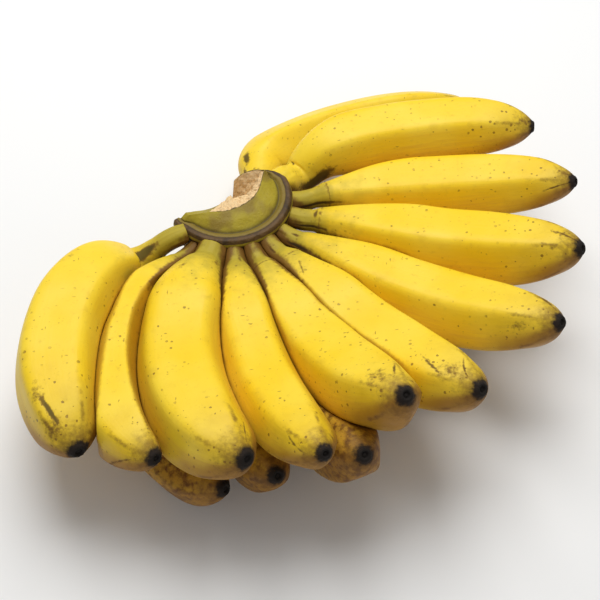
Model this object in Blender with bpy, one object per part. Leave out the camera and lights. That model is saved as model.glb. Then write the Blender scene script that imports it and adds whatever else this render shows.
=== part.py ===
"""A hand of bananas lying on a surface: the crown and two rows of fingers, +Z up, in metres.

The crown is a crescent swept round CROWN_AT. Every finger leaves its outer face along a short straight
stalk, then bends until its tip points the way that its row grew, upwards and to one side. The
upper row lies in the grooves of the lower row, and the lower row lies on the surface, z = 0.
"""

from typing import NamedTuple

import bmesh
import bpy
import numpy as np

MM = 0.001

# The crown's centre, at the height of its bract scar over the surface.
CROWN_AT = np.array((-38.3, 28.4, 45.0)) * MM
SCAR_RADIUS = 31.0 * MM
CROWN_FROM = -148.0
CROWN_TO = 76.0
CROWN_STATIONS = 30
# Past this azimuth the scar winds in towards the centre.
WIND_FROM = 25.0
# The cut where the hand left its stalk: its rim is nearest the centre at CUT_MIDDLE degrees.
CUT_MIDDLE = -50.0
CUT_RIM = 12.0 * MM

STATIONS = 19
SIDES = 15
RIDGE_SHARPNESS = 7.0
STALK_SHARE = 0.12
# How far along the stalk its sag reaches either way, in mm.
SAG_REACH = 12.0
# Rounds off the start of a hooked bend, as a share of the length.
SOFT_START = 0.08
LINE_STEPS = 319
NECK_START = 0.14
TIP_START = 0.6
TIP_END = 1.012
PACK_GAP = 0.6 * MM


class Finger(NamedTuple):
    """One finger. Angles are in degrees: headings anticlockwise from +X, pitches up from level."""

    name: str
    seat: float  # where on the crown's arc the stalk leaves it
    heading: float  # the stalk's own direction
    pitch: float
    end_heading: float  # the direction of the tip
    end_pitch: float
    length: float  # mm along the curve, stalk and all
    girth: float  # mm, the thickness of the body
    neck: float  # mm from the crown until the body is at its full thickness
    stalk: float  # mm, the thickness of the stalk
    roll: float  # turns the five faces round the body
    drop: float = 0.0  # mm that the stalk's middle lies below the bract scar
    reach: float = 1.5  # mm from the scar's edge out to the end of the stalk
    hook: float = 1.0  # below 1, more of the bend is near the neck
    sag: float = 0.0  # mm that the stalk dips below its straight line
    sag_at: float = 0.0  # mm from the crown to the deepest point of the sag
    give: float = 0.0  # mm, how much more it gives way than the fingers that press on it


FINGERS = (
    Finger("upper_finger_01", 34, 47, -5.5, -11, 10, 133.5, 31, 46, 15, 0, 1, 2.5, 0.36, 8.5, 10),
    Finger("upper_finger_02", 6, 14, -12, -24, 28, 138.5, 29, 62, 10, 0, 0, 1.5, 1, 5),
    Finger("upper_finger_03", -13, -12, -11, -25, 33, 140, 34, 62, 10, 0, 0, 1.5, 1, 5),
    Finger("upper_finger_04", -34, -30, -14, -33, 38, 145.5, 33, 58, 10, 0, 0, 1.5, 1, 5),
    Finger("upper_finger_05", -52, -50.5, -14, -45, 40, 140.5, 34, 50, 11, 0, 0, 1.5, 1, 5),
    Finger("upper_finger_06", -68, -61, -16, -56, 59, 142, 34, 46, 11, 0, 0, 1.5, 1, 5),
    Finger("upper_finger_07", -84, -82, -11, -56, 39, 140, 30, 41, 11.5, 0, 0, 1.5, 1, 5),
    Finger("upper_finger_08", -103.5, -109, -8, -39, 28, 141, 38.5, 38, 16.5, 0, 0, 1.5, 1, 5),
    Finger("upper_finger_09", -121, -131.5, -10.5, -40, 22, 143, 33, 62, 8, 0, 0, 1.5, 1, 5, 0, 4.5),
    Finger("upper_finger_10", -136.5, -157.5, -3, -60.5, 6, 146.5, 37.5, 70, 10, 0, 0, 1.5, 0.59, 10, 22),
    Finger("lower_finger_01", 58, 87, -19, 4.5, 3, 154, 28.5, 36, 14, 36, 13, 5, 0.36),
    Finger("lower_finger_02", -22, -22, -23, -32, 25, 108, 31, 44, 11, 36, 17, -1.5),
    Finger("lower_finger_03", -41, -40, -24, -38, 28, 108, 31, 44, 11, 36, 17, -1.5),
    Finger("lower_finger_04", -59, -56, -25, -45, 32, 106, 31, 44, 11, 36, 17, -1.5),
    Finger("lower_finger_05", -74, -67, -22, -66, 56, 147, 33, 44, 11, 36, 17, -1.5),
    Finger("lower_finger_06", -94, -90, -22, -58, 40, 132, 32, 44, 11, 36, 17, -1.5),
    Finger("lower_finger_07", -113, -121, -19, -32, 26, 144, 32, 44, 11, 36, 17, -1.5),
)


def clear_scene():
    for obj in list(bpy.data.objects):
        bpy.data.objects.remove(obj, do_unlink=True)


def make_material(name, colour, roughness):
    material = bpy.data.materials.new(name)
    material.use_nodes = True
    shader = material.node_tree.nodes["Principled BSDF"]
    shader.inputs["Base Color"].default_value = (*colour, 1.0)
    shader.inputs["Roughness"].default_value = roughness
    shader.inputs["Metallic"].default_value = 0.0
    return material


def direction(heading, pitch):
    heading, pitch = np.radians((heading, pitch))
    return np.array(
        [np.cos(pitch) * np.cos(heading), np.cos(pitch) * np.sin(heading), np.sin(pitch)]
    )


def scar_radius(azimuth):
    return SCAR_RADIUS - 17.0 * MM * max((azimuth - WIND_FROM) / 45.0, 0.0) ** 1.2


def centre_line(finger, share):
    """Points and unit tangents at shares of a finger's length: a straight stalk, then a bend to the tip.

    The tangent turns from a to b through the angle B as (a sin((1 - w) B) + b sin(w B)) / sin B, where w
    is the share past the stalk to the power hook, and the points are its running sum. The stalk dips by
    sag exp(-((mm from the crown - sag_at) / SAG_REACH)^2).
    """
    steps = np.linspace(0.0, 1.0, LINE_STEPS)
    first = direction(finger.heading, finger.pitch)
    last = direction(finger.end_heading, finger.end_pitch)
    bend = np.arccos(first @ last)
    past = np.clip((steps - STALK_SHARE) / (1.0 - STALK_SHARE), 0.0, 1.0)
    gentle = SOFT_START * (1.0 - finger.hook) + 1e-9
    past = (np.hypot(past, gentle) - gentle) / (np.hypot(1.0, gentle) - gentle)
    turned = (past**finger.hook)[:, None]
    ways = (np.sin((1.0 - turned) * bend) * first + np.sin(turned * bend) * last) / np.sin(bend)
    run = np.concatenate([np.zeros((1, 3)), np.cumsum((ways[1:] + ways[:-1]) / 2.0, axis=0)])
    run *= finger.length * MM / (LINE_STEPS - 1)
    run[:, 2] -= finger.sag * MM * np.exp(-(((steps * finger.length - finger.sag_at) / SAG_REACH) ** 2))
    slopes = np.gradient(run, axis=0)
    slopes /= np.linalg.norm(slopes, axis=1)[:, None]
    points = np.stack([np.interp(share, steps, axis) for axis in run.T], axis=1)
    tangents = np.stack([np.interp(share, steps, axis) for axis in slopes.T], axis=1)
    seat = np.radians(finger.seat)
    reach = scar_radius(finger.seat) + finger.reach * MM
    root = np.array([np.cos(seat) * reach, np.sin(seat) * reach, -finger.drop * MM])
    return CROWN_AT + root + points, tangents / np.linalg.norm(tangents, axis=1)[:, None]


def spaced(count):
    """Shares of the length from 0 to 1, closer together at the stalk and at the tip."""
    even = np.linspace(0.0, 1.0, count)
    return 0.5 * even + 0.25 * (1.0 - np.cos(np.pi * even))


def radius_along(finger, share):
    """Stalk, then a neck that swells as a sine, a full body, and an end that rounds off to a blunt scar."""
    swell = np.clip((share * finger.length / finger.neck - NECK_START) / (1.0 - NECK_START), 0.0, 1.0)
    stalk = finger.stalk / finger.girth
    body = stalk + (1.0 - stalk) * np.sin(np.pi / 2.0 * swell) ** 1.15
    end = np.clip((share - TIP_START) / (TIP_END - TIP_START), 0.0, 1.0)
    return finger.girth / 2.0 * MM * body * np.sqrt(1.0 - end**2.2)


def section(finger, share):
    """Radius, 1 on average, of the cross-section by angle: five soft faces on the body, round at the stalk."""
    angles = np.arange(SIDES) * 2.0 * np.pi / SIDES
    faces = np.radians(finger.roll) + np.arange(5) * 2.0 * np.pi / 5
    facing = np.maximum(np.cos(angles[:, None] - faces), 0.0)
    ridged = (facing**RIDGE_SHARPNESS).sum(axis=1) ** (-1.0 / RIDGE_SHARPNESS)
    mix = np.clip((share - 0.08) / 0.2, 0.0, 1.0)[:, None]
    return angles, 1.0 + mix * (ridged / ridged.mean() - 1.0)


def clearance(finger, points):
    """How far points lie outside a finger's round body, plus its give; negative well inside."""
    share = np.linspace(0.0, 1.0, 90)
    centres, _ = centre_line(finger, share)
    away = np.linalg.norm(points[..., None, :] - centres, axis=-1)
    nearest = away.argmin(axis=-1)
    closest = np.take_along_axis(away, nearest[..., None], axis=-1)[..., 0]
    firm = radius_along(finger, share) - finger.give * MM * np.clip((share - 0.12) / 0.25, 0.0, 1.0)
    return closest - firm[nearest]


def pack_against(finger, centres, offsets):
    """Draws the skin in, ring by ring, to where it is as near to this finger as to any neighbour."""
    others = [other for other in FINGERS if other is not finger]
    inner = np.zeros(offsets.shape[:2])
    outer = np.ones(offsets.shape[:2])
    trial = outer
    for _ in range(14):
        points = centres[:, None] + trial[..., None] * offsets
        own = clearance(finger, points)
        free = np.min([clearance(other, points) for other in others], axis=0) - own > PACK_GAP
        inner = np.where(free, trial, inner)
        outer = np.where(free, outer, trial)
        trial = np.where(inner < 1.0, (inner + outer) / 2.0, 1.0)
    return centres[:, None] + inner[..., None] * offsets


def finger_rings(finger):
    share = spaced(STATIONS)
    centres, tangents = centre_line(finger, share)
    side = np.cross(tangents, (0.0, 0.0, 1.0))
    side /= np.linalg.norm(side, axis=1)[:, None]
    up = np.cross(side, tangents)
    angles, unit = section(finger, share)
    reach = radius_along(finger, share)[:, None] * unit
    offsets = (reach * np.cos(angles))[..., None] * up[:, None]
    offsets = offsets + (reach * np.sin(angles))[..., None] * side[:, None]
    rings = pack_against(finger, centres, offsets)
    rings[..., 2] = np.maximum(rings[..., 2], 0.0)
    return rings


def crown_rings():
    """The crown's cross-section, swept round its centre. Each end is lower and narrower."""
    rings = []
    for azimuth in np.linspace(CROWN_FROM, CROWN_TO, CROWN_STATIONS):
        outer = scar_radius(azimuth)
        across = (azimuth - CUT_MIDDLE) / 85.0
        rim = min(CUT_RIM + (6.0 * across**2 + 2.0 * across**10) * MM, outer * 0.76)
        back = min(2.5 * MM + 9.0 * MM * across**4, rim * (0.45 if across > 0.0 else 0.9))
        from_end = min(min(azimuth - CROWN_FROM, CROWN_TO - azimuth) / 30.0, 1.0)
        depth = (12.0 + 16.0 * from_end) * MM
        rise = (1.5 + 2.5 * from_end) * MM
        band = min(7.0 * MM, (outer - rim) * 0.6)
        falling = np.clip((azimuth + 10.0) / 55.0, 0.0, 1.0)
        lip = (2.8 + 4.2 * np.exp(-(((azimuth + 88.0) / 34.0) ** 2)) - 7.5 * falling) * MM
        outline = (
            (outer - 0.08 * band, 1.0 * MM),
            (outer - 0.25 * band, 3.6 * MM),
            (outer - 0.8 * band, 3.8 * MM),
            (outer - band, 2.6 * MM),
            ((outer - band + rim) / 2.0, 2.6 * MM + 0.8 * rise),
            (rim, 3.5 * MM + rise),
            (rim - 0.6 * MM, 3.2 * MM + rise),
            ((rim + back) / 2.0, (3.2 * MM + rise + lip) / 2.0),
            (back, lip),
            (back, min(-0.5 * depth, lip - 4.0 * MM)),
            (back * 0.8 + outer * 0.2, -depth),
            (outer - 0.27 * (outer - back), -depth),
            (outer - 0.15 * (outer - back), 3.0 * MM - depth),
            (outer - 0.12 * (outer - back), -8.0 * MM),
            (outer - 0.15 * band, -6.0 * MM),
        )
        turn = np.radians(azimuth)
        rings.append([(r * np.cos(turn), r * np.sin(turn), z) for r, z in outline])
    return CROWN_AT + np.array(rings)


def loft(name, rings, material, collection, parent):
    """A closed skin through a row of unlike sections, with a flat cap on each end."""
    mesh = bpy.data.meshes.new(name)
    skin = bmesh.new()
    rows = [[skin.verts.new(point) for point in ring] for ring in rings]
    count = len(rows[0])
    for row, following in zip(rows, rows[1:]):
        for i in range(count):
            j = (i + 1) % count
            skin.faces.new((row[i], row[j], following[j], following[i]))
    skin.faces.new(list(reversed(rows[0])))
    skin.faces.new(rows[-1])
    bmesh.ops.recalc_face_normals(skin, faces=skin.faces)
    skin.to_mesh(mesh)
    skin.free()
    mesh.shade_smooth()
    mesh.set_sharp_from_angle(angle=np.radians(50.0))
    mesh.materials.append(material)
    obj = bpy.data.objects.new(name, mesh)
    collection.objects.link(obj)
    obj.parent = parent
    return obj


def main():
    clear_scene()
    collection = bpy.data.collections.new("banana_hand")
    bpy.context.scene.collection.children.link(collection)
    hand = bpy.data.objects.new("hand", None)
    collection.objects.link(hand)
    crown_peel = make_material("crown_peel", (0.27, 0.24, 0.06), 0.6)
    upper_peel = make_material("upper_peel", (0.85, 0.56, 0.05), 0.42)
    lower_peel = make_material("lower_peel", (0.66, 0.42, 0.07), 0.5)
    loft("crown", crown_rings(), crown_peel, collection, hand)
    for finger in FINGERS:
        peel = upper_peel if finger.name.startswith("upper") else lower_peel
        loft(finger.name, finger_rings(finger), peel, collection, hand)


if __name__ == "__main__":
    main()
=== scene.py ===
"""A hand of small ripe bananas, lying on a pale floor, dressed around its packed CAD model.

Each finger is a grid of points: five soft faces carried along a bending centre line, drawn in where it
presses on its neighbours, and closed by a blossom scar. The crown is one cross-section swept round its
centre. Every operator below makes one piece, or one group of like pieces, in metres with +Z up.
"""

from typing import NamedTuple

import bpy
import numpy as np
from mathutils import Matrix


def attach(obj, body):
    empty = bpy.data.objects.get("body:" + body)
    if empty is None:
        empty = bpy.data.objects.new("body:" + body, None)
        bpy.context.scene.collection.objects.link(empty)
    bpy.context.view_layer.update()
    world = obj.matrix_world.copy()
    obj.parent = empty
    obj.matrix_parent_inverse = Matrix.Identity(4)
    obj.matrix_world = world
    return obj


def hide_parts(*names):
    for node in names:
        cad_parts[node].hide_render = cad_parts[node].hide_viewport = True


bl_info = {
    "name": "Hand of bananas",
    "version": (1, 0, 0),
    "blender": (4, 5, 0),
    "location": "3D View > Sidebar > Bananas",
    "description": "Two rows of ridged ripe bananas on one cut crown",
    "category": "Add Mesh",
}

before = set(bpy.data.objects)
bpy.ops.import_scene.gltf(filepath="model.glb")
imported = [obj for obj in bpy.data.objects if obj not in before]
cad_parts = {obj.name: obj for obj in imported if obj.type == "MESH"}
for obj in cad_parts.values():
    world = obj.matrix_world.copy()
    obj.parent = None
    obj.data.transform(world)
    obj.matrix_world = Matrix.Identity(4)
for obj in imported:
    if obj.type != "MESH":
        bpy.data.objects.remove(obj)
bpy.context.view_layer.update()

MM = 0.001
BODY = "root"

# The crown's centre, at the height of its bract scar over the surface.
CROWN_AT = np.array((-38.3, 28.4, 45.0)) * MM
SCAR_RADIUS = 31.0 * MM
# Where the crown starts and ends, and where its scar starts to wind in, in degrees.
CROWN_FROM, CROWN_TO = -148.0, 76.0
WIND_FROM = 25.0
# The cut: its middle, half its angle, and how far its rim and back are from the crown's centre there.
CUT_MIDDLE, CUT_HALF = -50.0, 85.0
CUT_RIM, CUT_BACK = 12.0 * MM, 2.5 * MM
# The rim comes no nearer to the scar than this share of its radius. The scar's ridge is this wide.
RIM_MOST, RIDGE_WIDTH = 0.76, 7.0 * MM
# How far in the scar winds by this many degrees on, and how suddenly.
WIND_IN, WIND_OVER, WIND_POWER = 17.0 * MM, 45.0, 1.2

# The share of a finger that is straight stalk, and how far a dip in it reaches, in mm.
STALK_SHARE = 0.12
SAG_REACH = 12.0
# Rounds off the start of a hooked bend, as a share of the length.
SOFT_START = 0.08
# A centre line starts this share of the length inside the crown, and is summed in this many steps.
LINE_FROM, LINE_STEPS = -0.06, 319
TINY = 1e-9
# Where a neck starts to swell, as a share of the neck, and how suddenly.
NECK_START, NECK_POWER = 0.14, 1.15
# Where the end starts to round off and would close, as shares of the finger, and how suddenly.
TIP_START, TIP_END, TIP_POWER = 0.6, 1.012, 2.2
# Where a finger starts to give way to its neighbours, and over how much more, as shares of its length.
GIVE_FROM, GIVE_OVER = 0.12, 0.25
NEIGHBOUR_WITHIN = 12.0 * MM
FACES = 5
# How far a face is turned from even, in degrees, and how alike two must face for a ridge.
FACE_TURN, RIDGE_FROM = 5.0, 0.72
BODY_ROWS, SIDES = 150, 108
LINE_POINTS, HALVINGS = 90, 12

# Where a body turns five-faced, in mm from the crown, and round again, in mm before its scar.
FACED_BETWEEN = (8.0, 40.0)
ROUND_BETWEEN = (1.0, 16.0)
# The last mm, over which a finger narrows and folds, and those over which its lumps fade.
NOSE, LUMPS_FADE = 3.5, 25.0
LUMP = 38.0 * MM
# Where a knot lies, in mm from the crown, how strong it is, and half its width, in mm.
KNOT_AT = (10.5, 14.5)
KNOT_STRENGTH = (0.2, 1.0)
KNOT_WIDTH = 1.5
# Fine folds at both ends: their height and width, how drawn out they are, their radius and fade in mm.
FOLD_HEIGHT, FOLD = 0.16 * MM, 3.2 * MM
FOLD_DRAW, FOLD_ROUND, FOLD_FADE = 0.12, 8.0, 12.0

# Where a body's skin lies for the marks on it, as a share of the girth.
SKIN_OUT = 0.4
# How far a seam's stain, and the painted shade in the creases by the crown, reach, how much further
# at the crown, and where that fades, in mm.
STAIN, STAIN_AT_CROWN, STAIN_FADE = 1.2, 2.4, 22.0
# Where the green of a stalk fades, in mm from the crown.
GREEN_FADE = 17.0

# The rings of the blossom scar: how far out, as a share of the tip's radius, and how far on, in mm.
SCAR_OUT = (0.96, 0.88, 0.78, 0.66, 0.55, 0.46, 0.40, 0.34, 0.24, 0.12)
SCAR_ON = (0.35, 0.65, 0.90, 1.05, 1.0, 0.7, 0.2, -0.1, 0.1, 0.35)
SCAR_MIDDLE = 0.4
# How much of the length the scar's own depth takes up, in mm.
SCAR_DEPTH = 1.2

# How many points each side of the crown's outline is cut into, from its outer edge over the top.
OUTLINE_STEPS = (6, 12, 6, 12, 10, 4, 12, 12, 10, 6, 6, 6, 6, 6, 8)
CROWN_ROWS = 230
# Within this many degrees of an end the crown narrows, and within this many it stays smooth.
CROWN_NARROWS, CROWN_SMOOTH = 30.0, 8.0

# The floor reaches this far each way, and the camera and the lights stand here, in metres.
FLOOR_REACH = 6.0
CAMERA_AT, LOOKS_DOWN = (-0.00454, -0.3788, 0.48825), np.radians(52.0)
KEY_AT, KEY_SIZE = (-0.05, 0.35, 0.95), 0.8
FILL_AT, FILL_SIZE = (0.3, -0.9, 0.5), 0.7


class Finger(NamedTuple):
    """One finger. Angles are in degrees: headings anticlockwise from +X, pitches up from level."""

    name: str
    seat: float  # where on the crown's arc the stalk leaves it
    heading: float  # the stalk's own direction
    pitch: float
    end_heading: float  # the direction of the tip
    end_pitch: float
    length: float  # mm along the curve, stalk and all
    girth: float  # mm, the thickness of the body
    neck: float  # mm from the crown until the body is at its full thickness
    stalk: float  # mm, the thickness of the stalk
    sag: float  # mm that the stalk dips below its straight line
    roll: float = 0.0  # turns the five faces round the body
    drop: float = 0.0  # mm that the stalk's middle lies below the bract scar
    reach: float = 1.5  # mm from the scar's edge out to the end of the stalk
    hook: float = 1.0  # below 1, more of the bend is near the neck
    sag_at: float = 0.0  # mm from the crown to the deepest point of the sag
    give: float = 0.0  # mm, how much more it gives way than the fingers that press on it


# Each row from the back right round to the left, in the order of Finger's fields after its name.
UPPER_ROW = (
    (34, 47, -5.5, -11, 10, 133.5, 31, 46, 15, 8.5, 0, 1, 2.5, 0.36, 10),
    (6, 14, -12, -24, 28, 138.5, 29, 62, 10, 5),
    (-13, -12, -11, -25, 33, 140, 34, 62, 10, 5),
    (-34, -30, -14, -33, 38, 145.5, 33, 58, 10, 5),
    (-52, -50.5, -14, -45, 40, 140.5, 34, 50, 11, 5),
    (-68, -61, -16, -56, 59, 142, 34, 46, 11, 5),
    (-84, -82, -11, -56, 39, 140, 30, 41, 11.5, 5),
    (-103.5, -109, -8, -39, 28, 141, 38.5, 38, 16.5, 5),
    (-121, -131.5, -10.5, -40, 22, 143, 33, 62, 8, 5, 0, 0, 1.5, 1, 0, 4.5),
    (-136.5, -157.5, -3, -60.5, 6, 146.5, 37.5, 70, 10, 10, 0, 0, 1.5, 0.59, 22),
)
LOWER_ROW = (
    (58, 87, -19, 4.5, 3, 154, 28.5, 36, 14, 0, 36, 13, 5, 0.36),
    (-22, -22, -23, -32, 25, 108, 31, 44, 11, 0, 36, 17, -1.5),
    (-41, -40, -24, -38, 28, 108, 31, 44, 11, 0, 36, 17, -1.5),
    (-59, -56, -25, -45, 32, 106, 31, 44, 11, 0, 36, 17, -1.5),
    (-74, -67, -22, -66, 56, 147, 33, 44, 11, 0, 36, 17, -1.5),
    (-94, -90, -22, -58, 40, 132, 32, 44, 11, 0, 36, 17, -1.5),
    (-113, -121, -19, -32, 26, 144, 32, 44, 11, 0, 36, 17, -1.5),
)
FINGERS = tuple(
    Finger(f"{row}_finger_{number:02d}", *sizes)
    for row, fingers in (("upper", UPPER_ROW), ("lower", LOWER_ROW))
    for number, sizes in enumerate(fingers, 1)
)


class Mark(NamedTuple):
    """A bruise on one finger, an ellipse on its skin with ragged edges."""

    along: float  # mm from the crown to its middle
    angle: float  # degrees round the finger from its upper side, clockwise as seen from the crown
    long: float  # mm, half its length along the finger
    wide: float  # mm, half its width round the finger
    weight: float  # how dark it is
    lean: float = 0.0  # mm round the finger that it drifts for each mm along


# Each finger's marks, in the order of Mark's fields.
MARKS = {
    "upper_finger_10": (
        (15, -20, 6.5, 6, 1.5), (131, 22, 9, 1.1, 1.2, -0.15), (122, 30, 6, 3.5, 0.5), (137, 35, 5, 8, 0.6),
        (50, 30, 6, 1.2, 0.4),
    ),
    "upper_finger_09": ((131, 88, 9, 0.8, 0.9, -0.8), (77, 22, 5, 0.9, 0.6)),
    "upper_finger_08": ((11, -40, 4, 2.5, 0.6), (20, 20, 3, 2, 0.5), (133, -52, 6, 0.9, 0.8, 0.3)),
    "upper_finger_07": ((6, -20, 4, 2, 0.6), (129, 55, 7, 1.0, 0.7, 0.6)),
    "upper_finger_06": ((4, -40, 5, 2, 0.8), (130, 15, 8, 7, 0.55), (130, -25, 5, 1.0, 0.9, 0.5)),
    "upper_finger_05": (
        (5, 30, 5, 2, 0.8), (24, 10, 5, 1.0, 0.7, 0.5), (129, 18, 7, 6, 0.55), (120, 24, 9, 0.7, 0.9, 0.3),
        (133, -5, 5, 0.8, 0.9, 1.2),
    ),
    "upper_finger_04": (
        (6, 8, 4, 2.5, 0.8), (10, 60, 9, 2.4, 1.1), (138, -38, 6, 2.0, 0.8), (130, 60, 7, 5, 0.45),
    ),
    "upper_finger_03": (
        (10.8, 10, 0.9, 9, 0.9), (8, 75, 10, 2.2, 1.1), (133, -6, 7, 1.6, 0.8), (131, 40, 6, 5, 0.4),
    ),
    "upper_finger_02": ((8, 75, 13, 2.2, 1.1), (132, 62, 8, 0.7, 1.0, -0.2), (134, 0, 4, 3, 0.5)),
    "upper_finger_01": (
        (15, 85, 11, 4.5, 1.5), (9, -25, 4, 1.5, 0.9, -0.6), (124, -42, 9, 1.4, 0.9), (129, 25, 5, 4, 0.6),
    ),
    "lower_finger_01": ((15.5, -42, 4.0, 2.2, 1.2), (6, -62, 6, 2.0, 0.9), (142, -36, 6, 1.6, 0.9)),
}
# These two ripened right down to the crown.
RIPE_TO_CROWN = ("upper_finger_01", "lower_finger_01")
# The rest of the lower row is riper and browner than the upper row.
RIPER = tuple(f"lower_finger_{number:02d}" for number in range(2, len(LOWER_ROW) + 1))


# Sizes and colours that a user would change.


LENGTH = {"subtype": "DISTANCE", "unit": "LENGTH"}
SHARE = {"subtype": "FACTOR", "max": 1.0}


def number_property(name, description, default, low=0.0, **kind):
    return bpy.props.FloatProperty(name=name, description=description, default=default, min=low, **kind)


def colour_property(name, description, default):
    return bpy.props.FloatVectorProperty(
        name=name, description=description, default=default, min=0.0, max=1.0, size=3, subtype="COLOR"
    )


class FingerShape(bpy.types.PropertyGroup):
    """The relief on every finger."""

    sharpness: number_property("Ridge sharpness", "How crisply two faces meet", 9.0, low=2.0, max=30.0)
    unevenness: number_property("Unevenness", "Height of the broad lumps on a body", 0.35 * MM, **LENGTH)
    seam_gap: number_property("Seam gap", "Space left where two fingers press together", 0.12 * MM, **LENGTH)
    root_depth: number_property("Root depth", "How far a stalk runs on into the crown", 4.0 * MM, **LENGTH)
    knot: number_property("Knot", "Height of the ring where a stalk meets its neck", 0.35 * MM, **LENGTH)
    nose_taper: number_property("Nose taper", "How much the last few mm narrow to the scar", 0.42, **SHARE)


class PeelColours(bpy.types.PropertyGroup):
    """The colours of ripe peel."""

    ripe: colour_property("Ripe", "The sunny side of a body", (0.88, 0.60, 0.018))
    pale: colour_property("Pale", "Paler patches of the body", (0.89, 0.64, 0.042))
    # Deep is a richer yellow in streaks and on the riper row, and painted shade on the lower faces.
    deep_and_shade: colour_property("Deep", "The richer yellow of the lower faces", (0.67, 0.385, 0.05))
    neck: colour_property("Neck", "The greener neck and stalk", (0.38, 0.30, 0.03))
    # Fleck also colours the dark brown creases between the stalks, deepened there as painted shade.
    fleck: colour_property("Fleck", "Small ripe flecks", (0.12, 0.042, 0.007))
    # Tan is the ochre of the ends, and also painted shade on the lower faces near the ends.
    tan: colour_property("Tan", "The ochre skin towards the ends", (0.34, 0.155, 0.014))
    rub: colour_property("Rub", "Skin that browned where fingers press", (0.33, 0.15, 0.018))
    halo: colour_property("Halo", "Brown skin round the blossom end", (0.15, 0.068, 0.012))
    bruise: colour_property("Bruise", "Dark scuffs, and the blossom end's collar", (0.018, 0.011, 0.007))
    scar: colour_property("Scar", "The dried blossom end", (0.012, 0.009, 0.007))


class CrownColours(bpy.types.PropertyGroup):
    """The colours of the crown."""

    green: colour_property("Green", "The crown's smooth shoulder", (0.365, 0.287, 0.024))
    olive: colour_property("Olive", "Darker patches on the shoulder", (0.245, 0.172, 0.027))
    bract: colour_property("Bract scar", "The corky ridge round the crown", (0.125, 0.07, 0.025))
    # Bract groove also draws the dark line along the cut's rim, a painted shadow.
    bract_dark: colour_property("Bract groove", "The grooves beside the ridge", (0.05, 0.03, 0.014))
    cut: colour_property("Cut", "Dry fibres of the cut", (0.80, 0.58, 0.31))
    cut_dark: colour_property("Cut shade", "The cut's browned edge and pits", (0.55, 0.36, 0.18))


class StageLook(bpy.types.PropertyGroup):
    """The floor, the lights and the camera."""

    floor: colour_property("Floor", "The pale floor", (0.86, 0.86, 0.85))
    key_power: number_property("Key", "The large soft light overhead", 10.3, unit="POWER")
    fill_power: number_property("Fill", "The weak light from the front", 0.8, unit="POWER")
    sky: number_property("Sky", "Strength of the even light from all round", 0.3, **SHARE)
    elevation: number_property("Elevation", "How far the camera looks down", LOOKS_DOWN, subtype="ANGLE")


# Shapes, worked out as whole arrays.


def direction(heading, pitch):
    """The unit vector of a heading and a pitch in degrees."""
    heading, pitch = np.radians((heading, pitch))
    return np.array([np.cos(pitch) * np.cos(heading), np.cos(pitch) * np.sin(heading), np.sin(pitch)])


def joined(*values):
    """The values as one array, side by side along a new last axis."""
    return np.stack(np.broadcast_arrays(*values), axis=-1)


def ease(value, low, high):
    """0 below low, 1 above high, and 3 x^2 - 2 x^3 between them."""
    x = np.clip((value - low) / (high - low), 0.0, 1.0)
    return x * x * (3.0 - 2.0 * x)


def ruffle(points, size, seed, waves=16):
    """Smooth noise from about -1 to 1: the sum of plane waves of random direction, each about size long."""
    draw = np.random.default_rng(seed)
    ways = draw.normal(size=(waves, 3))
    ways *= (2.0 * np.pi / (size * draw.uniform(0.7, 1.6, waves)) / np.linalg.norm(ways, axis=1))[:, None]
    phases = draw.uniform(0.0, 2.0 * np.pi, waves)
    return np.sin(points @ ways.T + phases).sum(axis=-1) * np.sqrt(0.5 / waves)


def scar_radius(azimuth):
    """The bract scar's radius: a circle that winds in past WIND_FROM as a power of the azimuth."""
    return SCAR_RADIUS - WIND_IN * np.maximum((azimuth - WIND_FROM) / WIND_OVER, 0.0) ** WIND_POWER


def centre_line(finger, share):
    """Points and unit tangents at shares of a finger's length: a straight stalk, then a bend to the tip.

    The tangent turns from a to b through the angle B as (a sin((1 - w) B) + b sin(w B)) / sin B, where w
    is the share past the stalk to the power hook, and the points are its running sum. The stalk dips by
    sag exp(-((mm from the crown - sag_at) / SAG_REACH)^2). Both ends run on straight.
    """
    steps = np.linspace(LINE_FROM, 1.0, LINE_STEPS)
    first = direction(finger.heading, finger.pitch)
    last = direction(finger.end_heading, finger.end_pitch)
    bend = np.arccos(first @ last)
    past = np.clip((steps - STALK_SHARE) / (1.0 - STALK_SHARE), 0.0, 1.0)
    gentle = SOFT_START * (1.0 - finger.hook) + TINY
    past = (np.hypot(past, gentle) - gentle) / (np.hypot(1.0, gentle) - gentle)
    turned = (past**finger.hook)[:, None]
    ways = (np.sin((1.0 - turned) * bend) * first + np.sin(turned * bend) * last) / np.sin(bend)
    run = np.concatenate([np.zeros((1, 3)), np.cumsum((ways[1:] + ways[:-1]) / 2.0, axis=0)])
    run *= (steps[1] - steps[0]) * finger.length * MM
    run -= run[np.searchsorted(steps, -TINY)]
    mm_on = np.maximum(steps, 0.0) * finger.length
    run[:, 2] -= finger.sag * MM * np.exp(-(((mm_on - finger.sag_at) / SAG_REACH) ** 2))
    seat = np.radians(finger.seat)
    reach = scar_radius(finger.seat) + finger.reach * MM
    root = np.array([np.cos(seat) * reach, np.sin(seat) * reach, -finger.drop * MM])
    slopes = np.gradient(run, axis=0)
    slopes /= np.linalg.norm(slopes, axis=1)[:, None]
    points = joined(*(np.interp(share, steps, axis) for axis in run.T))
    tangents = joined(*(np.interp(share, steps, axis) for axis in slopes.T))
    return CROWN_AT + root + points, tangents / np.linalg.norm(tangents, axis=1)[:, None]


def radius_along(finger, share):
    """Stalk, then a neck that swells as a sine, a full body, and an end that rounds off to a blunt scar."""
    swell = np.clip((share * finger.length / finger.neck - NECK_START) / (1.0 - NECK_START), 0.0, 1.0)
    stalk = finger.stalk / finger.girth
    body = stalk + (1.0 - stalk) * np.sin(np.pi / 2.0 * swell) ** NECK_POWER
    end = np.clip((share - TIP_START) / (TIP_END - TIP_START), 0.0, 1.0)
    return finger.girth / 2.0 * MM * body * np.sqrt(1.0 - end**TIP_POWER)


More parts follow.
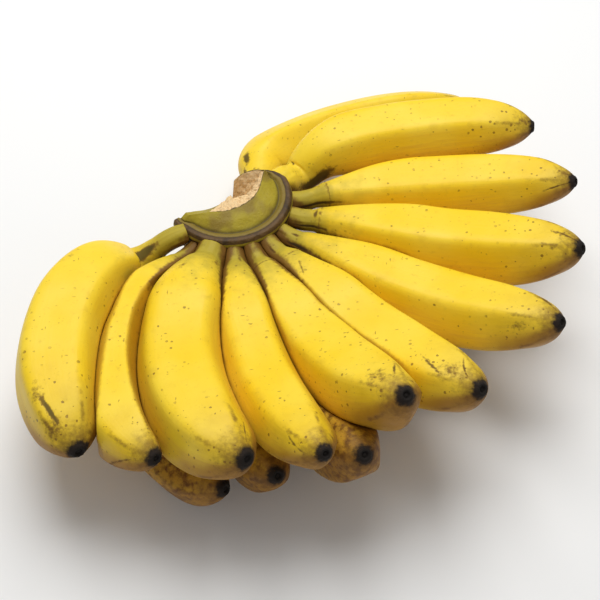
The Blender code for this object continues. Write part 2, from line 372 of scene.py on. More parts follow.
def faces_round(finger, angles, sharpness, draw):
    """The five-faced section's radius, 1 on average, and how near each angle is to a ridge, from 0 to 1.

    The radius is the sum over the faces of max(cos(angle - face), 0)^n, to the power -1/n.
    """
    turned = draw.uniform(-FACE_TURN, FACE_TURN, FACES)
    faces = np.radians(finger.roll + np.arange(FACES) * 360.0 / FACES + turned)
    facing = np.maximum(np.cos(angles[:, None] - faces), 0.0)
    ridged = (facing**sharpness).sum(axis=1) ** (-1.0 / sharpness)
    ordered = np.sort(facing, axis=1)
    return ridged / ridged.mean(), ease(ordered[:, -2] / ordered[:, -1], RIDGE_FROM, 1.0)


def clearance(points, centres, radii):
    """How far points lie outside a round body, from its nearest centre point; negative inside."""
    square = (points**2).sum(1)[:, None] - 2.0 * points @ centres.T + (centres**2).sum(1)
    nearest = square.argmin(axis=1)
    closest = np.sqrt(np.maximum(square[np.arange(len(points)), nearest], 0.0))
    return closest - radii[nearest]


def body_line(finger):
    """A finger's centre points, and its radii less its give, for measuring how far others are from it."""
    share = np.linspace(0.0, 1.0, LINE_POINTS)
    firm = radius_along(finger, share) - finger.give * MM * np.clip((share - GIVE_FROM) / GIVE_OVER, 0.0, 1.0)
    return centre_line(finger, share)[0], firm


def neighbours_of(finger):
    """The body lines of the fingers that come close to this one."""
    centres, radii = body_line(finger)
    lines = [body_line(other) for other in FINGERS if other.name != finger.name]
    return [line for line in lines if (clearance(centres, *line) - radii).min() < NEIGHBOUR_WITHIN]


def pack_against(finger, centres, offsets, gap):
    """Draws the skin in, by halving, to where it is as near to this finger as to any neighbour."""
    own, others = body_line(finger), neighbours_of(finger)
    middles = np.broadcast_to(centres[:, None], offsets.shape).reshape(-1, 3)
    arms = offsets.reshape(-1, 3)

    def free(scale, which):
        points = middles[which] + scale[:, None] * arms[which]
        mine = clearance(points, *own)
        return np.min([clearance(points, *line) for line in others], axis=0) - mine > gap

    scale = np.ones(len(arms))
    pressed = np.flatnonzero(~free(scale, np.arange(len(arms))))
    inner, outer = np.zeros(len(pressed)), np.ones(len(pressed))
    for _ in range(HALVINGS):
        trial = (inner + outer) / 2.0
        clear = free(trial, pressed)
        inner, outer = np.where(clear, trial, inner), np.where(clear, outer, trial)
    scale[pressed] = inner
    return scale.reshape(offsets.shape[:2])


def soften(values):
    """Averages each value of a grid with its neighbours, round the ring and along the rows."""
    values = 0.5 * values + 0.25 * (np.roll(values, 1, axis=1) + np.roll(values, -1, axis=1))
    padded = np.pad(values, ((1, 1), (0, 0)), mode="edge")
    return 0.5 * values + 0.25 * (padded[:-2] + padded[2:])


def bruises(finger, angles, along):
    """How bruised the skin is: the most of weight exp(-x^2 - y^2) over the finger's marks.

    x and y are how far a point lies along and round the finger from a mark's middle, each over its size.
    """
    marked = np.zeros((len(along), len(angles)))
    for mark in (Mark(*sizes) for sizes in MARKS.get(finger.name, ())):
        turn = (np.degrees(angles) - mark.angle + 180.0) % 360.0 - 180.0
        aside = np.radians(turn) * SKIN_OUT * finger.girth - mark.lean * (along - mark.along)
        inside = ((along - mark.along) / mark.long) ** 2 + (aside / mark.wide) ** 2
        marked = np.maximum(marked, mark.weight * np.exp(-inside))
    return marked


def blossom_scar(points, centre, tangent, arms):
    """The scar's rings: the body's last ring, narrowed by SCAR_OUT and moved on by SCAR_ON."""
    reach = np.linalg.norm(points - centre, axis=1)
    out, on = np.array(SCAR_OUT)[:, None], np.array(SCAR_ON)[:, None] * MM
    return centre + arms * (out * reach)[..., None] + on[..., None] * tangent


def finger_grid(finger, shape, seed):
    """A finger's points, rows along it and sides round it, and what its material reads at each of them.

    The rows crowd towards both ends as a cosine. A point is its centre plus an arm, as long as the radius
    there times the faced section, plus the knot, broad lumps and fine folds. Then the skin is drawn in
    where it presses on a neighbour, and no point is below the floor.
    """
    draw = np.random.default_rng(seed)
    root = -shape.root_depth / (finger.length * MM)
    tip = 1.0 - SCAR_DEPTH / finger.length
    even = np.linspace(0.0, 1.0, BODY_ROWS)
    share = root + (tip - root) * (0.5 * even + 0.25 * (1.0 - np.cos(np.pi * even)))
    mm_on, mm_left = share * finger.length, (tip - share) * finger.length
    angles = np.pi + np.arange(SIDES) * 2.0 * np.pi / SIDES
    centres, tangents = centre_line(finger, share)
    side = np.cross(tangents, (0.0, 0.0, 1.0))
    side /= np.linalg.norm(side, axis=1)[:, None]
    up = np.cross(side, tangents)
    arms = np.cos(angles)[:, None] * up[:, None] + np.sin(angles)[:, None] * side[:, None]

    unit, ridge = faces_round(finger, angles, shape.sharpness, draw)
    faceted = ease(mm_on, *FACED_BETWEEN) * ease(mm_left, *ROUND_BETWEEN)
    knot_at, knotted = draw.uniform(*KNOT_AT), draw.uniform(*KNOT_STRENGTH)
    if finger.name in RIPE_TO_CROWN:
        knotted = 0.0
    reach = radius_along(finger, share)
    reach *= 1.0 - shape.nose_taper * np.exp(-mm_left / NOSE)
    reach += shape.knot * knotted * np.exp(-(((mm_on - knot_at) / KNOT_WIDTH) ** 2))
    reach = reach[:, None] * (1.0 + faceted[:, None] * (unit - 1.0))
    broad = ruffle(centres[:, None] + arms * 0.5 * finger.girth * MM, LUMP, seed)
    reach += shape.unevenness * broad * ease(mm_left, 0.0, LUMPS_FADE)[:, None]
    across, beside = np.cos(angles) * FOLD_ROUND * MM, np.sin(angles) * FOLD_ROUND * MM
    lengthwise = joined(mm_on[:, None] * FOLD_DRAW * MM, across, beside)
    folded = np.exp(-np.maximum(mm_on, 0.0) / FOLD_FADE) + 0.8 * np.exp(-mm_left / NOSE)
    reach += FOLD_HEIGHT * ruffle(lengthwise, FOLD, seed + 50) * folded[:, None]
    offsets = arms * reach[..., None]
    offsets *= soften(pack_against(finger, centres, offsets, shape.seam_gap))[..., None]

    points = centres[:, None] + offsets
    points = np.concatenate([points, blossom_scar(points[-1], centres[-1], tangents[-1], arms[-1])])
    points[..., 2] = np.maximum(points[..., 2], 0.0)
    ends = centres[0], centres[-1] + SCAR_MIDDLE * MM * tangents[-1]
    along = np.concatenate([mm_on, np.full(len(SCAR_OUT), mm_on[-1])])[:, None]
    left = np.concatenate([mm_left, np.array(SCAR_OUT) * 2.0 - 2.0])[:, None]
    layers = peel_layers(finger, points, angles, along, left)
    layers["strand"] = along * MM + 0.31 * seed
    layers["ridge"] = ridge * np.concatenate([faceted, np.zeros(len(SCAR_OUT))])[:, None]
    # A dark crease lies just past the knot.
    ring = knotted * np.exp(-(((along - knot_at - 0.8) / 0.7) ** 2))
    layers["mark"] = np.maximum(bruises(finger, angles, along), 0.75 * ring)
    return points, ends, layers


def peel_layers(finger, points, angles, along, left):
    """What the peel's material reads: the place on the finger, how green and ripe it is, and what it touches.

    The touch is exp(-gap / stain), where the gap is how much further away the nearest neighbour is than
    the finger itself, and the stain is wider near the crown.
    """
    flat = points.reshape(-1, 3)
    gap = np.min([clearance(flat, *line) for line in neighbours_of(finger)], axis=0)
    gap = gap - clearance(flat, *body_line(finger))
    from_crown = np.maximum(along, 0.0)
    stain = (STAIN + STAIN_AT_CROWN * np.exp(-from_crown / STAIN_FADE)) * MM
    green = 0.25 if finger.name in RIPE_TO_CROWN else 1.0
    return {
        "along": along * MM,
        "left": left * MM,
        "touch": np.exp(-np.maximum(gap, 0.0).reshape(points.shape[:2]) / stain),
        "green": green * np.exp(-from_crown / GREEN_FADE),
        "riper": float(finger.name in RIPER),
        # How far a point faces down: it sets the painted shade on the lower faces.
        "under": 0.5 - 0.5 * np.cos(angles),
        "turned": np.cos(angles),
        "sideways": np.sin(angles),
    }


def closed_mesh(name, points, ends, layers):
    """A mesh from rows of points round an axis: quads between rows and a fan to a point at each end.

    Its UVs are the share of the way along and the share of the way round. The faces are turned round
    where the volume that they close, the sum of a . (b x c) over them, is negative.
    """
    rows, sides = points.shape[:2]
    verts = np.concatenate([points.reshape(-1, 3), np.array(ends)])
    here = np.arange(rows * sides).reshape(rows, sides)
    beside = np.roll(here, -1, axis=1)
    quads = np.stack([here[:-1], beside[:-1], beside[1:], here[1:]], axis=-1).reshape(-1, 4)
    first = np.stack([beside[0], here[0], np.full(sides, rows * sides)], axis=-1)
    final = np.stack([here[-1], beside[-1], np.full(sides, rows * sides + 1)], axis=-1)
    a, b, c, d = (verts[quads[:, corner]] for corner in range(4))
    volume = (a * np.cross(b, c)).sum() + (a * np.cross(c, d)).sum()

    def pairs(*corners):
        return np.stack([joined(*corner) for corner in corners], axis=-2)

    u = np.broadcast_to(np.arange(1, rows + 1)[:, None] / (rows + 1), (rows, sides))
    v = np.broadcast_to(np.arange(sides) / sides, (rows, sides))
    v_on, v_half = v + 1.0 / sides, v[0] + 0.5 / sides
    quad_uv = pairs((u[:-1], v[:-1]), (u[:-1], v_on[:-1]), (u[1:], v_on[1:]), (u[1:], v[1:]))
    quad_uv = quad_uv.reshape(-1, 4, 2)
    first_uv = pairs((u[0], v_on[0]), (u[0], v[0]), (0.0, v_half))
    final_uv = pairs((u[-1], v[0]), (u[-1], v_on[0]), (1.0, v_half))
    way = -1 if volume < 0.0 else 1
    loops = np.concatenate([faces[:, ::way].ravel() for faces in (quads, first, final)])
    uv = np.concatenate([places[:, ::way].ravel() for places in (quad_uv, first_uv, final_uv)])
    starts = np.concatenate([np.arange(len(quads)) * 4, len(quads) * 4 + np.arange(2 * sides) * 3])

    mesh = bpy.data.meshes.new(name)
    mesh.vertices.add(len(verts))
    mesh.vertices.foreach_set("co", verts.astype(np.float32).ravel())
    mesh.loops.add(len(loops))
    mesh.loops.foreach_set("vertex_index", loops.astype(np.int32))
    mesh.polygons.add(len(starts))
    mesh.polygons.foreach_set("loop_start", starts.astype(np.int32))
    mesh.update(calc_edges=True)
    mesh.shade_smooth()
    mesh.uv_layers.new(name="OFBake").data.foreach_set("uv", uv.astype(np.float32))
    for key, given in layers.items():
        values = np.broadcast_to(given, (rows, sides))
        whole = np.concatenate([values.ravel(), [values[0].mean(), values[-1].mean()]])
        mesh.attributes.new(key, "FLOAT", "POINT").data.foreach_set("value", whole.astype(np.float32))
    return mesh


def crown_outline(azimuths):
    """The crown's cross-section at each azimuth, as (radius, height) corners. Each end is lower and narrower.

    The rim of the cut and its back widen from the cut's middle as powers of the angle, and the cut's lip
    is highest near -88 degrees and falls away past -10.
    """
    outer = scar_radius(azimuths)
    across = (azimuths - CUT_MIDDLE) / CUT_HALF
    rim = np.minimum(CUT_RIM + (6.0 * across**2 + 2.0 * across**10) * MM, outer * RIM_MOST)
    back = np.minimum(CUT_BACK + 9.0 * MM * across**4, rim * np.where(across > 0.0, 0.45, 0.9))
    from_end = np.minimum(np.minimum(azimuths - CROWN_FROM, CROWN_TO - azimuths) / CROWN_NARROWS, 1.0)
    depth = (12.0 + 16.0 * from_end) * MM
    rise = (1.5 + 2.5 * from_end) * MM
    band = np.minimum(RIDGE_WIDTH, (outer - rim) * 0.6)
    falling = np.clip((azimuths + 10.0) / 55.0, 0.0, 1.0)
    lip = (2.8 + 4.2 * np.exp(-(((azimuths + 88.0) / 34.0) ** 2)) - 7.5 * falling) * MM
    wall = outer - back
    corners = (
        # The bract scar, from its outer edge over its ridge to the groove inside it.
        (outer - 0.08 * band, 1.0 * MM),
        (outer - 0.25 * band, 3.6 * MM),
        (outer - 0.8 * band, 3.8 * MM),
        (outer - band, 2.6 * MM),
        # The smooth shoulder, up to the rim of the cut.
        ((outer - band + rim) / 2.0, 2.6 * MM + 0.8 * rise),
        (rim, 3.5 * MM + rise),
        # The cut, from its rim down its back.
        (rim - 0.6 * MM, 3.2 * MM + rise),
        ((rim + back) / 2.0, (3.2 * MM + rise + lip) / 2.0),
        (back, lip),
        (back, np.minimum(-0.5 * depth, lip - 4.0 * MM)),
        # The underside, and up the outside to the scar.
        (back * 0.8 + outer * 0.2, -depth),
        (outer - 0.27 * wall, -depth),
        (outer - 0.15 * wall, 3.0 * MM - depth),
        (outer - 0.12 * wall, -8.0 * MM),
        (outer - 0.15 * band, -6.0 * MM),
    )
    return np.stack([joined(*corner) for corner in corners], axis=1)


def crown_grid():
    """The crown's points: its outline with rounded corners, swept round CROWN_AT and roughened.

    A place on the outline is counted in corners from its outer edge: the scar lies from 0 to 3, the
    shoulder to 5, the cut to 9, and the underside and the outside to 15. Each part eases in and out
    there, and the points move out from the outline's middle by its roughness.
    """
    azimuths = np.linspace(CROWN_FROM, CROWN_TO, CROWN_ROWS)
    corners = crown_outline(azimuths)
    onward = np.roll(corners, -1, axis=1)
    place = np.concatenate([corner + np.arange(steps) / steps for corner, steps in enumerate(OUTLINE_STEPS)])
    corner = place.astype(int)
    part = (place - corner)[:, None]
    outline = corners[:, corner] * (1.0 - part) + onward[:, corner] * part
    for _ in range(3):
        outline = 0.5 * outline + 0.25 * (np.roll(outline, 1, axis=1) + np.roll(outline, -1, axis=1))
    turn = np.radians(azimuths)[:, None]
    points = joined(outline[..., 0] * np.cos(turn), outline[..., 0] * np.sin(turn), outline[..., 1])
    fade = ease(np.minimum(azimuths - CROWN_FROM, CROWN_TO - azimuths), 0.0, CROWN_SMOOTH)

    cut = ease(place, 5.2, 5.9) * (1.0 - ease(place, 9.6, 10.6)) * ease(azimuths, -128.0, -116.0)[:, None]
    band = ease(place, 0.0, 0.6) * (1.0 - ease(place, 2.4, 3.1)) + ease(place, 14.0, 15.0)
    groove = np.exp(-(((place - 3.0) / 0.22) ** 2)) + 0.9 * np.exp(-(((place - 1.5) / 0.10) ** 2))
    shoulder = ease(place, 3.0, 3.4) * (1.0 - ease(place, 4.9, 5.3))
    rough = ruffle(points, 3.4 * MM, 11) + 0.6 * ruffle(points, 1.5 * MM, 12)
    rough = rough + 0.3 * ruffle(points, 0.8 * MM, 13)
    strands = np.abs(ruffle(points * (1.0, 1.0, 0.3), 2.0 * MM, 14))
    height = cut * (0.55 * rough - 0.5 * strands) * MM
    height = height + 0.12 * MM * band * ruffle(points, 2.2 * MM, 15) - 0.35 * MM * groove
    height = height + 0.2 * MM * shoulder * ruffle(points, 7.0 * MM, 16)
    out = points - points.mean(axis=1, keepdims=True)
    out /= np.linalg.norm(out, axis=-1, keepdims=True)
    points = CROWN_AT + (points + out * (height * fade[:, None])[..., None])
    layers = {
        "cut": cut,
        "band": band,
        "groove": groove,
        "strip": ease(place, 1.5, 1.7) * (1.0 - ease(place, 2.7, 3.0)),
        # The cut's rim, where a painted shadow line lies.
        "rim": np.exp(-(((place - 5.3) / 0.35) ** 2)) * cut.max(axis=1, keepdims=True),
    }
    return points, (points[0].mean(axis=0), points[-1].mean(axis=0)), layers


# Shader nodes.


def math_method(operation, other_first=False):
    """A method of Value that joins it to another value or number by one Math node."""
    if other_first:
        return lambda own, other: own.tree.math(operation, other, own)
    return lambda own, other: own.tree.math(operation, own, other)


class Value:
    """A node's output, which is added, multiplied and so on as a number is."""

    def __init__(self, tree, socket):
        self.tree, self.socket = tree, socket

    __add__ = math_method("ADD")
    __radd__ = math_method("ADD", other_first=True)
    __sub__ = math_method("SUBTRACT")
    __rsub__ = math_method("SUBTRACT", other_first=True)
    __mul__ = math_method("MULTIPLY")
    __rtruediv__ = math_method("DIVIDE", other_first=True)
    __pow__ = math_method("POWER")


class Tree:
    """Adds nodes to one node tree. An input may be a number, a vector, a colour or a Value."""

    def __init__(self, tree):
        self.tree = tree

    def put(self, socket, value):
        if isinstance(value, Value):
            self.tree.links.new(value.socket, socket)
        elif socket.type == "RGBA":
            socket.default_value = (*value, 1.0)
        else:
            socket.default_value = value

    def node(self, kind, inputs=(), **settings):
        made = self.tree.nodes.new(kind)
        for key, value in settings.items():
            setattr(made, key, value)
        for key, value in dict(inputs).items():
            self.put(made.inputs[key], value)
        return made

    def value(self, kind, inputs=(), output=0, **settings):
        return Value(self, self.node(kind, inputs, **settings).outputs[output])

    def math(self, operation, a, b, clamp=False):
        return self.value("ShaderNodeMath", {0: a, 1: b}, operation=operation, use_clamp=clamp)

    def vector(self, operation, inputs):
        return self.value("ShaderNodeVectorMath", inputs, operation=operation)

    def most(self, a, b):
        return self.math("MAXIMUM", a, b)

    def within(self, distance, reach, steep):
        """0.5 where the distance is reach, and more by steep for each metre that it is less, from 0 to 1."""
        return self.math("ADD", 0.5, (reach - distance) * steep, clamp=True)

    def mix(self, factor, a, b):
        return self.value("ShaderNodeMix", {0: factor, 6: a, 7: b}, output=2, data_type="RGBA")

    def ease(self, value, low, high):
        inputs = {"Value": value, "From Min": low, "From Max": high}
        return self.value("ShaderNodeMapRange", inputs, interpolation_type="SMOOTHSTEP")

    def noise(self, vector, size, detail=2.0, roughness=0.5):
        inputs = {"Vector": vector, "Scale": 1.0 / size, "Detail": detail, "Roughness": roughness}
        return self.value("ShaderNodeTexNoise", inputs)

    def stretched(self, vector, scale, turn):
        inputs = {"Vector": vector, "Scale": scale, "Rotation": (0.0, 0.0, turn)}
        return self.value("ShaderNodeMapping", inputs)

    def attribute(self, name):
        return self.value("ShaderNodeAttribute", output="Fac", attribute_name=name)

    def use(self, name, **inputs):
        """The output of a shared node group, which is made the first time that it is used."""
        group = bpy.data.node_groups.get(name) or SHARED_GROUPS[name]()
        named = {key.capitalize(): value for key, value in inputs.items()}
        return self.value("ShaderNodeGroup", named, node_tree=group)

    def flecks(self, vector, **sizes):
        return self.use("flecks", vector=vector, **sizes)

    def ragged(self, vector, mask, **sizes):
        return self.use("ragged wear", vector=vector, mask=mask, **sizes)


def group_of(name, inputs, output):
    """A new node group with a Vector, float inputs and one float output; returns its Tree and its inputs."""
    group = bpy.data.node_groups.new(name, "ShaderNodeTree")
    group.interface.new_socket("Vector", in_out="INPUT", socket_type="NodeSocketVector")
    for key, default in inputs.items():
        group.interface.new_socket(key, in_out="INPUT", socket_type="NodeSocketFloat").default_value = default
    group.interface.new_socket(output, in_out="OUTPUT", socket_type="NodeSocketFloat")
    tree = Tree(group)
    given = tree.node("NodeGroupInput").outputs
    return tree, {key: Value(tree, given[key]) for key in ("Vector", *inputs)}


def fleck_group():
    """Spots scattered in cells: each cell has its own size of spot, most of them small, with ragged edges."""
    tree, given = group_of("flecks", {"Cell": 0.003, "Spread": 0.3, "Bias": 3.0}, "Mask")
    scale = 1.0 / given["Cell"]
    noise = {"Vector": given["Vector"], "Scale": scale * 3.0}
    ragged = tree.value("ShaderNodeTexNoise", noise, output="Color")
    shift = tree.vector("SUBTRACT", {0: ragged, 1: (0.5, 0.5, 0.5)})
    wobble = tree.vector("SCALE", {0: shift, 3: given["Cell"] * 0.35})
    place = tree.vector("ADD", {0: given["Vector"], 1: wobble})
    cells = tree.node("ShaderNodeTexVoronoi", {"Vector": place, "Scale": scale}).outputs
    chance = tree.value("ShaderNodeSeparateColor", {0: Value(tree, cells["Color"])})
    size = chance ** given["Bias"] * given["Spread"]
    edge = size - Value(tree, cells["Distance"])
    tree.node("NodeGroupOutput", {0: tree.ease(edge, -0.02, 0.06)})
    return tree.tree


def fibre_group():
    """Fine lengthwise fibres: noise drawn out along the finger, from 0 to 1."""
    tree, given = group_of("fibres", {"Width": 0.001, "Draw": 12.0}, "Value")
    drawn = tree.value("ShaderNodeCombineXYZ", {0: 1.0 / given["Draw"], 1: 1.0, 2: 1.0})
    place = tree.vector("MULTIPLY", {0: given["Vector"], 1: drawn})
    tree.node("NodeGroupOutput", {0: tree.noise(place, given["Width"], 3.0, 0.6)})
    return tree.tree


def wear_group():
    """A mask with a ragged edge: the mask plus noise, cut off at 0.5."""
    tree, given = group_of("ragged wear", {"Mask": 0.0, "Grain": 0.004, "Ragged": 0.5, "Soft": 0.15}, "Mask")
    noise = tree.noise(given["Vector"], given["Grain"], 4.0, 0.62) - 0.5
    worn = given["Mask"] + noise * given["Ragged"]
    tree.node("NodeGroupOutput", {0: tree.ease(worn, 0.5 - given["Soft"], 0.5 + given["Soft"])})
    return tree.tree


SHARED_GROUPS = {"flecks": fleck_group, "fibres": fibre_group, "ragged wear": wear_group}


def new_material(name, specular):
    """A material, its Tree and its shader, with one even specular level."""
    material = bpy.data.materials.new(name)
    material.use_nodes = True
    shader = material.node_tree.nodes["Principled BSDF"]
    shader.inputs["Specular IOR Level"].default_value = specular
    return material, Tree(material.node_tree), shader


def finish_skin(tree, shader, colour, rough, height, strength, depth):
    """Joins a skin's colour, roughness and relief to its shader."""
    bump = tree.value("ShaderNodeBump", {"Height": height, "Strength": strength, "Distance": depth})
    for key, value in (("Base Color", colour), ("Roughness", rough), ("Normal", bump)):
        tree.put(shader.inputs[key], value)


def peel_material(name, colours):
    """Ripe peel: yellow, deeper in streaks and with painted shade on the lower faces, greener at the neck,
    flecked and scratched, brown where fingers press together and round the blossom end, with more painted
    shade on the lower faces near the ends and in the creases between the stalks. The "riper" attribute adds
    brown all over.

    Each coat of colour is mixed over the last by its mask times its strength. Sizes are in metres.
    """
    material, tree, shader = new_material(name, specular=0.24)
    spot = tree.value("ShaderNodeTexCoord", output="Object")
    along, left, under, ridge = (tree.attribute(key) for key in ("along", "left", "under", "ridge"))
    riper, touch, bruised = (tree.attribute(key) for key in ("riper", "touch", "mark"))
    # The finger unrolled: how far along it, and a circle of a mean radius round it.
    round_it = {1: tree.attribute("turned") * 0.016, 2: tree.attribute("sideways") * 0.016}
    peel = tree.value("ShaderNodeCombineXYZ", {0: tree.attribute("strand"), **round_it})
    fibres = tree.use("fibres", vector=peel, width=0.0011, draw=14.0)
    streaks = tree.use("fibres", vector=peel, width=0.0045, draw=9.0)
    broad = tree.noise(spot, 0.028)
    cloud = tree.noise(spot, 0.009, 3.0, 0.6)

    # Yellow: paler in patches, deeper in streaks, darker on the lower faces as painted shade, and green
    # towards the crown.
    colour = tree.mix(tree.ease(broad, 0.35, 0.65), colours.ripe, colours.pale)
    # Lower faces: painted shade, mixed with a deeper yellow in streaks and on the riper row.
    deep_and_shade = under * 0.8 + (fibres - 0.35) * 0.55 + (streaks - 0.5) * 0.55 + riper * 0.5
    colour = tree.mix(tree.ease(deep_and_shade, 0.15, 0.95), colour, colours.deep_and_shade)
    green = tree.ease(tree.attribute("green") + (cloud - 0.5) * 0.7, 0.1, 0.68)
    colour = tree.mix(green * 0.92, colour, colours.neck)

    # Flecks: small ones in clouds, a few large ones, and short scratches two ways.
    near_end = 1.0 - tree.ease(left, 0.002, 0.042)
    often = cloud + near_end * 0.3 + riper * 0.4
    small = tree.flecks(spot, cell=0.0021, spread=0.38, bias=3.5) * tree.ease(often, 0.36, 0.72)
    large = tree.flecks(spot, cell=0.0065, spread=0.13, bias=4.0)
    lengthwise = tree.stretched(spot, (1.0, 4.0, 4.0), turn=0.6)
    dashes = tree.flecks(lengthwise, cell=0.0075, spread=0.17, bias=4.0)
    sideways = tree.stretched(spot, (4.5, 1.0, 4.0), turn=-0.3)
    crosswise = tree.flecks(sideways, cell=0.0085, spread=0.15, bias=4.0)
    spots = tree.most(tree.most(small, large * 0.7), tree.most(dashes, crosswise) * 0.8)
    colour = tree.mix(spots * 0.7, colour, colours.fleck)

    # Ochre and brown towards the ends, painted shade on their lower faces, and brown speckles on the riper
    # row.
    # Near the ends the lower faces take painted shade as well as the real brown of the ends.
    brown_ends_and_shade = near_end * (tree.ease(under, 0.25, 0.6) * 1.3 + 0.45) + riper * 0.6
    tan = tree.ragged(spot, brown_ends_and_shade - 0.25, grain=0.011, ragged=0.8, soft=0.8)
    colour = tree.mix(tan * 0.9, colour, colours.tan)
    speckled = tree.ragged(spot, 0.45, grain=0.0034, ragged=1.8, soft=0.25)
    colour = tree.mix(speckled * (riper * 0.9), colour, colours.fleck)

    # Seams where fingers press together, dark creases between the stalks deepened as painted shade, and
    # rubbed ridges.
    rubbed = tree.ragged(spot, touch, grain=0.005, ragged=0.7, soft=0.3)
    colour = tree.mix(rubbed * 0.6, colour, colours.rub)
    by_crown = 1.0 - tree.ease(along, 0.014, 0.048)
    # Dark creases between the stalks by the crown, deepened as painted shade.
    crease = tree.ragged(spot, (touch * 1.3 + 0.1) * by_crown, grain=0.003, ragged=0.6, soft=0.2)
    colour = tree.mix(crease * 0.8, colour, colours.fleck)
    colour = tree.mix(ridge * tree.ease(cloud, 0.52, 0.68) * 0.16, colour, colours.rub)
    edge = tree.ragged(spot, ridge * near_end**2.5 * 1.1, grain=0.0028, ragged=1.1, soft=0.25)
    colour = tree.mix(edge * 0.6, colour, colours.fleck)
    mark = tree.ragged(spot, bruised, grain=0.0022, ragged=1.3, soft=0.25)
    stained = tree.mix(tree.ease(bruised, 0.45, 1.0), colours.halo, colours.bruise)
    colour = tree.mix(mark * 0.85, colour, stained)

    # The blossom end: a brown halo that runs up the ridges, a dark collar and a black scar.
    halo = tree.within(left, 0.0045 + ridge * 0.006, steep=90.0)
    halo = tree.ragged(spot, halo, grain=0.0026, ragged=1.3, soft=0.45)
    colour = tree.mix(halo * 0.75, colour, colours.halo)
    collar = tree.within(left, 0.0011, steep=380.0)
    collar = tree.ragged(spot, collar, grain=0.0022, ragged=1.2, soft=0.35)
    colour = tree.mix(collar, colour, colours.bruise)
    colour = tree.mix(tree.within(left, -0.0003, steep=1500.0), colour, colours.scar)

    rough = 0.36 + cloud * 0.14 + tree.most(halo, green) * 0.16 + tree.most(collar, mark) * 0.25
    height = fibres * 0.6 + tree.noise(spot, 0.0012) * 0.25 - tree.most(spots, mark) * 0.5
    height = height + halo * tree.noise(spot, 0.0016, 3.0)
    finish_skin(tree, shader, colour, rough, height, strength=0.4, depth=0.0004)
    return material


def crown_material(name, colours):
    """A green waxy shoulder, a corky brown scar round it, the dry torn fibres of the cut, and a painted
    shadow along the cut's rim.
    """
    material, tree, shader = new_material(name, specular=0.18)
    spot = tree.value("ShaderNodeTexCoord", output="Object")
    cloud = tree.noise(spot, 0.006, 3.0, 0.6)
    fine = tree.noise(spot, 0.0011, 3.0, 0.6)
    patch = tree.ease(tree.noise(spot, 0.014), 0.45, 0.62)
    colour = tree.mix(patch, colours.green, colours.olive)
    colour = tree.mix(tree.ease(fine, 0.5, 0.75) * 0.35, colour, colours.olive)
    cork = tree.mix(tree.ease(cloud, 0.35, 0.7), colours.bract, colours.bract_dark)
    cork = tree.mix(tree.attribute("strip") * 0.8, cork, colours.olive)
    band = tree.ragged(spot, tree.attribute("band"), grain=0.003, ragged=0.35, soft=0.2)
    colour = tree.mix(band, colour, cork)
    groove = tree.math("MULTIPLY", tree.attribute("groove"), 0.85, clamp=True)
    colour = tree.mix(groove, colour, colours.bract_dark)
    torn = tree.mix(tree.ease(fine, 0.45, 0.75), colours.cut, colours.cut_dark)
    torn = tree.mix(tree.ease(cloud, 0.55, 0.8) * 0.5, torn, colours.cut_dark)
    cut = tree.ragged(spot, tree.attribute("cut"), grain=0.003, ragged=0.5, soft=0.12)
    colour = tree.mix(cut, colour, torn)
    # A dark line along the cut's rim: a painted shadow.
    rim = tree.ragged(spot, tree.attribute("rim"), grain=0.002, ragged=0.8, soft=0.2)
    colour = tree.mix(rim * 0.7, colour, colours.bract_dark)
    finish_skin(tree, shader, colour, 0.5 + cut * 0.35, cloud + fine * 0.6, strength=0.6, depth=0.0008)
    return material


# Pieces.


def new_object(name, data):
    """A new object in the scene, at its origin."""
    made = bpy.data.objects.new(name, data)
    bpy.context.scene.collection.objects.link(made)
    return made


def add_piece(name, grid, material, node):
    """One visible piece in place of a CAD node, made from a grid's points, ends and layers."""
    mesh = closed_mesh(name, *grid)
    mesh.materials.append(material)
    piece = new_object(name, mesh)
    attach(piece, BODY)
    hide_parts(node)


def add_fingers(row):
    """The fingers of one row. A finger's random draws follow from its place in FINGERS."""
    scene, slot = bpy.context.scene, row + "_peel"
    material = peel_material(slot, scene.peel_colours)
    for index, finger in enumerate(FINGERS):
        if finger.name.startswith(row):
            grid = finger_grid(finger, scene.finger_shape, 100 + index)
            add_piece(finger.name.replace("finger", "banana"), grid, material, finger.name)


class BANANAS_OT_crown(bpy.types.Operator):
    """Add the crown with its bract scar and its cut"""

    bl_idname = "bananas.crown"
    bl_label = "Crown"

    def execute(self, context):
        material = crown_material("crown_peel", context.scene.crown_colours)
        add_piece("cut_crown", crown_grid(), material, "crown")
        return {"FINISHED"}


class BANANAS_OT_upper_row(bpy.types.Operator):
    """Add the ten fingers of the upper row"""

    bl_idname = "bananas.upper_row"
    bl_label = "Upper row"

    def execute(self, context):
        add_fingers("upper")
        return {"FINISHED"}


class BANANAS_OT_lower_row(bpy.types.Operator):
    """Add the seven fingers of the lower row"""

    bl_idname = "bananas.lower_row"
    bl_label = "Lower row"

    def execute(self, context):
        add_fingers("lower")
        return {"FINISHED"}


def add_light(name, size, power, location):
    """A square soft light at location that faces the middle of the hand."""
    data = bpy.data.lights.new(name, "AREA")
    data.size = size
    data.energy = power
    lamp = new_object(name, data)
    lamp.location = location
    lamp.rotation_euler = (-lamp.location).to_track_quat("-Z", "Y").to_euler()


def add_floor(colour):
    """The floor: one large square with its middle under the hand."""
    mesh = bpy.data.meshes.new("floor")
    corners = [(x * FLOOR_REACH, y * FLOOR_REACH, 0.0) for x, y in ((-1, -1), (1, -1), (1, 1), (-1, 1))]
    mesh.from_pydata(corners, [], [(0, 1, 2, 3)])
    material, tree, shader = new_material("pale_floor", specular=0.1)
    tree.put(shader.inputs["Base Color"], colour)
    tree.put(shader.inputs["Roughness"], 0.8)
    mesh.materials.append(material)
    new_object("floor", mesh)


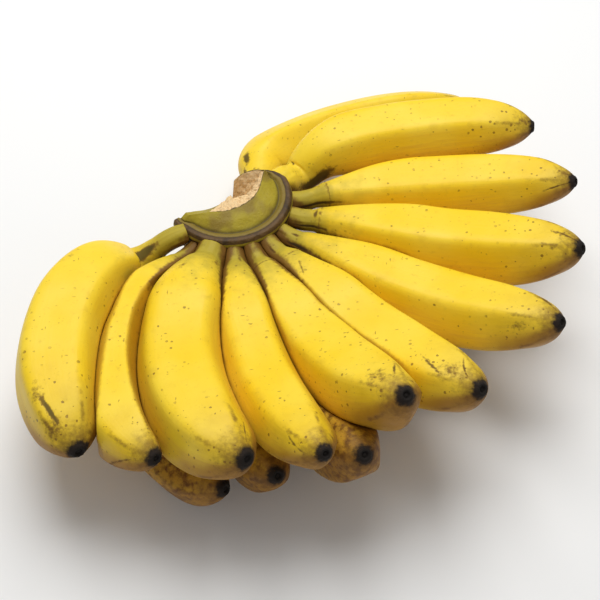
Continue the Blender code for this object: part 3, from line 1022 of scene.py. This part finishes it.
class BANANAS_OT_stage(bpy.types.Operator):
    """Add the pale floor, the soft lights and the camera"""

    bl_idname = "bananas.stage"
    bl_label = "Stage"

    def execute(self, context):
        scene, look = context.scene, context.scene.stage_look
        add_floor(look.floor)
        add_light("key", KEY_SIZE, look.key_power, KEY_AT)
        add_light("fill", FILL_SIZE, look.fill_power, FILL_AT)
        world = bpy.data.worlds.new("studio")
        world.use_nodes = True
        background = world.node_tree.nodes["Background"]
        background.inputs["Color"].default_value = (1.0, 1.0, 1.0, 1.0)
        background.inputs["Strength"].default_value = look.sky
        scene.world = world
        lens = bpy.data.cameras.new("camera")
        lens.lens = 75.0
        lens.sensor_width = 36.0
        lens.clip_start = 0.01
        camera = new_object("camera", lens)
        camera.location = CAMERA_AT
        camera.rotation_euler = (np.pi / 2.0 - look.elevation, 0.0, 0.0)
        scene.camera = camera
        scene.view_settings.view_transform = "Standard"
        return {"FINISHED"}


class BANANAS_PT_panel(bpy.types.Panel):
    """The pieces of the hand, and what a user would change in them"""

    bl_idname = "BANANAS_PT_panel"
    bl_label = "Hand of bananas"
    bl_space_type = "VIEW_3D"
    bl_region_type = "UI"
    bl_category = "Bananas"

    def draw(self, context):
        for kind in OPERATORS:
            self.layout.operator(kind.bl_idname)
        for group, kind in GROUPS.items():
            box = self.layout.box()
            box.label(text=kind.__doc__)
            for name in kind.__annotations__:
                box.prop(getattr(context.scene, group), name)


OPERATORS = (BANANAS_OT_crown, BANANAS_OT_upper_row, BANANAS_OT_lower_row, BANANAS_OT_stage)
GROUPS = {
    "finger_shape": FingerShape,
    "peel_colours": PeelColours,
    "crown_colours": CrownColours,
    "stage_look": StageLook,
}
CLASSES = (*GROUPS.values(), *OPERATORS, BANANAS_PT_panel)


def register():
    for kind in CLASSES:
        bpy.utils.register_class(kind)
    for name, kind in GROUPS.items():
        setattr(bpy.types.Scene, name, bpy.props.PointerProperty(type=kind))


def unregister():
    for name in GROUPS:
        delattr(bpy.types.Scene, name)
    for kind in reversed(CLASSES):
        bpy.utils.unregister_class(kind)


def main():
    register()
    bpy.ops.bananas.crown()
    bpy.ops.bananas.upper_row()
    bpy.ops.bananas.lower_row()
    bpy.ops.bananas.stage()


if __name__ == "__main__":
    main()
